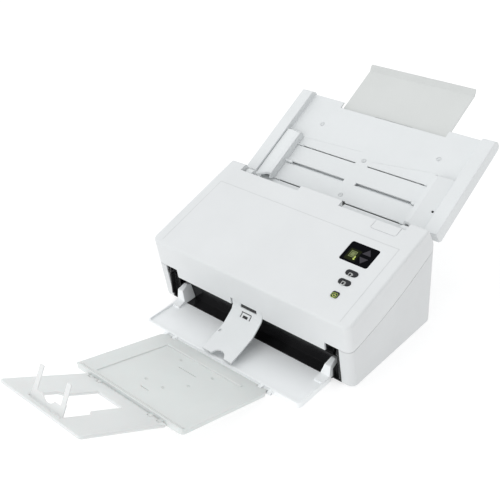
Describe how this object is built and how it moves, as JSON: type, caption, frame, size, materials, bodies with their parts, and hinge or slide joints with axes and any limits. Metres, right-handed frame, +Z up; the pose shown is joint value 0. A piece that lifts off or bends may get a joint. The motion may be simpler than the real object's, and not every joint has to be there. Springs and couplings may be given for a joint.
{
  "type": "sheet fed document scanner",
  "caption": "Desktop sheet fed scanner with a fold-down input tray, sliding paper guides, a lift-up cover and a chain of fold-out output trays.",
  "frame": {"origin": "on the desk, under the middle of the unfolded machine's overall box", "axes": "+X to the user's right across the paper, +Y from the output side to the input side, +Z up"},
  "size_m": [0.316, 0.6834, 0.2251],
  "materials": {
    "casing": "fine matte moulded, cool white",
    "casing_side": "fine matte moulded, light grey",
    "tray_white": "matte moulded, light grey white",
    "frosted": "frosted translucent moulded",
    "frosted_dark": "frosted translucent moulded, thinner",
    "black_plastic": "fine matte moulded, black",
    "black_gloss": "polished black",
    "button_grey": "satin moulded, charcoal",
    "key_grey": "satin dark grey",
    "lcd": "green liquid crystal glass",
    "rubber": "matte rubber",
    "steel": "brushed steel",
    "zinc_sheet": "galvanised sheet",
    "bearing": "self-lubricating plastic",
    "gear_white": "natural acetal",
    "glass": "clear scanning glass",
    "board": "green circuit board",
    "cork": "separation pad rubber"
  },
  "bodies": {
    "base": {"lower_case": "casing_side", "rear_cover": "casing_side", "foot_pads": "rubber", "case_screws": "steel", "exit_frame": "black_plastic", "side_frame_left": "zinc_sheet", "side_frame_right": "zinc_sheet", "shaft_bearings": "bearing", "tray_pins": "steel", "cover_pins": "steel", "lower_chute": "black_plastic", "lower_scan_module": "black_plastic", "lower_scan_glass": "glass", "drive_motor": "steel", "drive_belt": "black_plastic", "main_board": "board", "usb_port": "steel", "power_jack": "black_plastic", "output_tray": "tray_white", "tray_pegs": "steel", "output_pins": "steel"},
    "motor_rotor": {"motor_pulley": "black_plastic"},
    "feed_roller": {"feed_shaft": "steel", "feed_tyre": "rubber"},
    "transport_roller": {"transport_shaft": "steel", "transport_tyres": "rubber"},
    "exit_roller": {"exit_shaft": "steel", "exit_tyres": "rubber"},
    "cover": {"top_cover": "casing", "display_window": "black_gloss", "lcd_panel": "lcd", "key_board": "board", "upper_chute": "black_plastic", "upper_scan_module": "black_plastic", "upper_scan_glass": "glass", "separation_holder": "gear_white", "separation_pad": "cork"},
    "transport_pinch": {"transport_pinch_shaft": "steel", "transport_pinch_rollers": "gear_white"},
    "exit_pinch": {"exit_pinch_shaft": "steel", "exit_pinch_rollers": "gear_white"},
    "up_key": {"up_key": "key_grey"},
    "down_key": {"down_key": "key_grey"},
    "function_button": {"function_button": "button_grey"},
    "scan_button": {"scan_button": "button_grey"},
    "power_button": {"power_button": "button_grey"},
    "release_tab": {"release_tab": "casing"},
    "exit_flap": {"exit_flap": "tray_white"},
    "input_tray": {"tray_bed": "tray_white", "tray_back": "tray_white"},
    "left_guide": {"guide_left": "tray_white", "rack_left": "gear_white"},
    "right_guide": {"guide_right": "tray_white", "rack_right": "gear_white"},
    "guide_pinion": {"guide_pinion": "gear_white"},
    "input_extension": {"input_extension": "frosted"},
    "output_extension": {"output_extension": "frosted", "extension_pins": "steel"},
    "outer_extension": {"outer_extension": "frosted_dark"},
    "paper_stop": {"paper_stop": "frosted_dark"}
  },
  "joints": [
    {"name": "cover_open", "type": "hinge", "parent": "base", "child": "cover", "pos_m": [0, -0.0365, 0.048], "axis": [1, 0, 0], "range_deg": [0, 90]},
    {"name": "input_tray_fold", "type": "hinge", "parent": "base", "child": "input_tray", "pos_m": [0, 0.113, 0.131], "axis": [-1, 0, 0], "range_deg": [-168, 0]},
    {"name": "input_extension_slide", "type": "slide", "parent": "input_tray", "child": "input_extension", "axis": [0, 0.8796, 0.4756], "range_m": [-0.075, 0]},
    {"name": "left_guide_slide", "type": "slide", "parent": "input_tray", "child": "left_guide", "axis": [1, 0, 0], "range_m": [0, 0.083]},
    {"name": "right_guide_slide", "type": "slide", "parent": "input_tray", "child": "right_guide", "axis": [-1, 0, 0], "range_m": [0, 0.083]},
    {"name": "guide_pinion_turn", "type": "hinge", "parent": "input_tray", "child": "guide_pinion", "pos_m": [0, 0.17264, 0.1294], "axis": [0, -0.4756, 0.8796], "range_deg": [-530, 10]},
    {"name": "output_extension_fold", "type": "hinge", "parent": "base", "child": "output_extension", "pos_m": [0, -0.1025, 0.0051], "axis": [1, 0, 0], "range_deg": [-65, 0]},
    {"name": "outer_extension_fold", "type": "hinge", "parent": "output_extension", "child": "outer_extension", "pos_m": [0, -0.24083, 0.04724], "axis": [1, 0, 0], "range_deg": [-80, 0]},
    {"name": "paper_stop_fold", "type": "hinge", "parent": "outer_extension", "child": "paper_stop", "pos_m": [0, -0.33157, 0.10394], "axis": [1, 0, 0], "range_deg": [-90, 0]},
    {"name": "exit_flap_lift", "type": "hinge", "parent": "base", "child": "exit_flap", "pos_m": [0, -0.0365, 0.048], "axis": [-1, 0, 0], "range_deg": [0, 15]},
    {"name": "release_tab_lift", "type": "hinge", "parent": "cover", "child": "release_tab", "pos_m": [0.109, 0.08995, 0.13616], "axis": [1, 0, 0], "range_deg": [0, 12]},
    {"name": "up_key_press", "type": "slide", "parent": "cover", "child": "up_key", "axis": [0, 0.2882, -0.9576], "range_m": [0, 0.0005]},
    {"name": "down_key_press", "type": "slide", "parent": "cover", "child": "down_key", "axis": [0, 0.2882, -0.9576], "range_m": [0, 0.0005]},
    {"name": "function_button_press", "type": "slide", "parent": "cover", "child": "function_button", "axis": [0, 0.2882, -0.9576], "range_m": [0, 0.0008]},
    {"name": "scan_button_press", "type": "slide", "parent": "cover", "child": "scan_button", "axis": [0, 0.2882, -0.9576], "range_m": [0, 0.0008]},
    {"name": "power_button_press", "type": "slide", "parent": "cover", "child": "power_button", "axis": [0, 0.2882, -0.9576], "range_m": [0, 0.0008]},
    {"name": "motor_spin", "type": "hinge", "parent": "base", "child": "motor_rotor", "pos_m": [0, 0.071, 0.0345], "axis": [1, 0, 0], "continuous": true},
    {"name": "feed_roller_spin", "type": "hinge", "parent": "base", "child": "feed_roller", "pos_m": [0, 0.08662, 0.07403], "axis": [1, 0, 0], "continuous": true},
    {"name": "transport_roller_spin", "type": "hinge", "parent": "base", "child": "transport_roller", "pos_m": [0, 0.04074, 0.05377], "axis": [1, 0, 0], "continuous": true},
    {"name": "exit_roller_spin", "type": "hinge", "parent": "base", "child": "exit_roller", "pos_m": [0, -0.00636, 0.02944], "axis": [1, 0, 0], "continuous": true},
    {"name": "transport_pinch_spin", "type": "hinge", "parent": "cover", "child": "transport_pinch", "pos_m": [0, 0.03446, 0.06538], "axis": [1, 0, 0], "continuous": true},
    {"name": "exit_pinch_spin", "type": "hinge", "parent": "cover", "child": "exit_pinch", "pos_m": [0, -0.01216, 0.04017], "axis": [1, 0, 0], "continuous": true}
  ],
  "couplings": [
    {"joint": "right_guide_slide", "follows": "left_guide_slide", "ratio": 1},
    {"joint": "guide_pinion_turn", "follows": "left_guide_slide", "rad_per_m": -111.11},
    {"joint": "motor_spin", "follows": "feed_roller_spin", "ratio": 2.4},
    {"joint": "transport_roller_spin", "follows": "feed_roller_spin", "ratio": 1.5},
    {"joint": "exit_roller_spin", "follows": "feed_roller_spin", "ratio": 1.7143},
    {"joint": "transport_pinch_spin", "follows": "feed_roller_spin", "ratio": -2.4},
    {"joint": "exit_pinch_spin", "follows": "feed_roller_spin", "ratio": -2.4}
  ]
}
